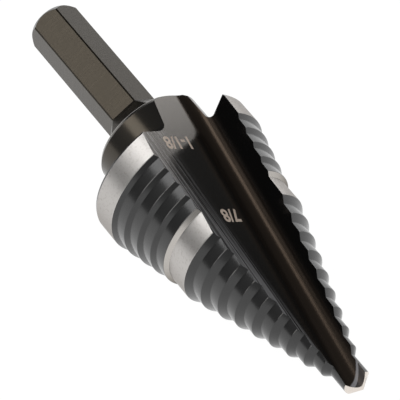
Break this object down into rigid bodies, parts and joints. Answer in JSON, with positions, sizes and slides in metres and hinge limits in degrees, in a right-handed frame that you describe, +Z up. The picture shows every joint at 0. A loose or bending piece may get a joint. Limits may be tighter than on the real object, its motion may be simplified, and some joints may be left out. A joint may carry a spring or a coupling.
{
  "type": "step drill",
  "caption": "Conical step drill with straight flutes, bright sizing bands, a collar and a hexagonal shank, for cutting holes of graded sizes in sheet metal.",
  "frame": {"origin": "centre of the bounding box, on the surface that the drill lies on", "axes": "+Z up, +X from the tip towards the shank, and the drill's axis in the XZ plane, with the tip lower than the shank"},
  "size_m": [0.0822, 0.028, 0.0236],
  "materials": {
    "black_oxide_steel": "black oxide on ground tool steel, with the two sizing bands and the point ground bright"
  },
  "bodies": {
    "root": {"step_drill": "black_oxide_steel"}
  },
  "joints": []
}
